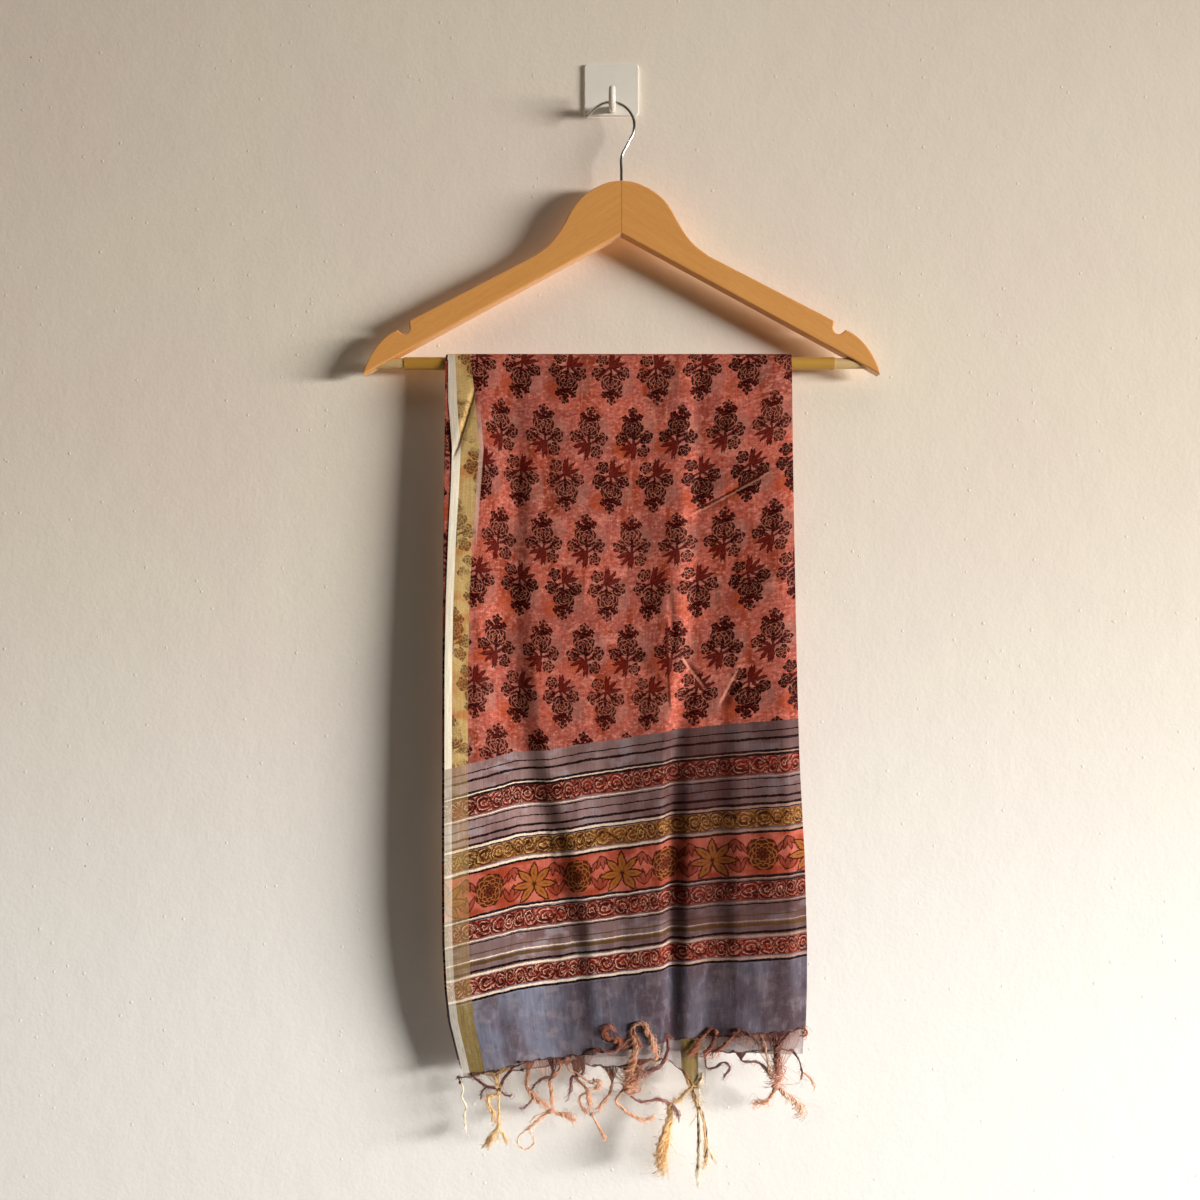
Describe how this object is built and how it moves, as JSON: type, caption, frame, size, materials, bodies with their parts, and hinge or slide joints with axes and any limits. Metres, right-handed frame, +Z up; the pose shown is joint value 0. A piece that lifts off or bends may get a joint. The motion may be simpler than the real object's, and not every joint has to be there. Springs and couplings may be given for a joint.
{
  "type": "stole on a clothes hanger and wall hook",
  "caption": "Wide printed stole with tasselled ends, folded in three lengthwise over the bar of a wooden clothes hanger that hangs from an adhesive wall hook.",
  "frame": {"origin": "centre of the wall hook plate's back face, on the wall", "axes": "+X to the right as the front is seen, +Y into the wall, +Z up; everything hangs on the -Y side"},
  "size_m": [0.4472, 0.0398, 0.9846],
  "materials": {
    "wall_hook": "satin moulded",
    "hook_wire": "bright plated",
    "hanger_wood": "clear lacquer over honey stain",
    "bar_wood": "bare turned",
    "bar_sleeve": "satin tube",
    "stole_cloth": "fine woven, block printed",
    "fringe_thread": "loose yarn"
  },
  "bodies": {
    "root": {"wall_hook": "wall_hook", "hook_wire": "hook_wire", "hanger_left": "hanger_wood", "hanger_right": "hanger_wood", "bar_dowel": "bar_wood", "bar_sleeve": "bar_sleeve", "stole": "stole_cloth", "fringe_outer": "fringe_thread", "fringe_inner": "fringe_thread"}
  },
  "joints": []
}
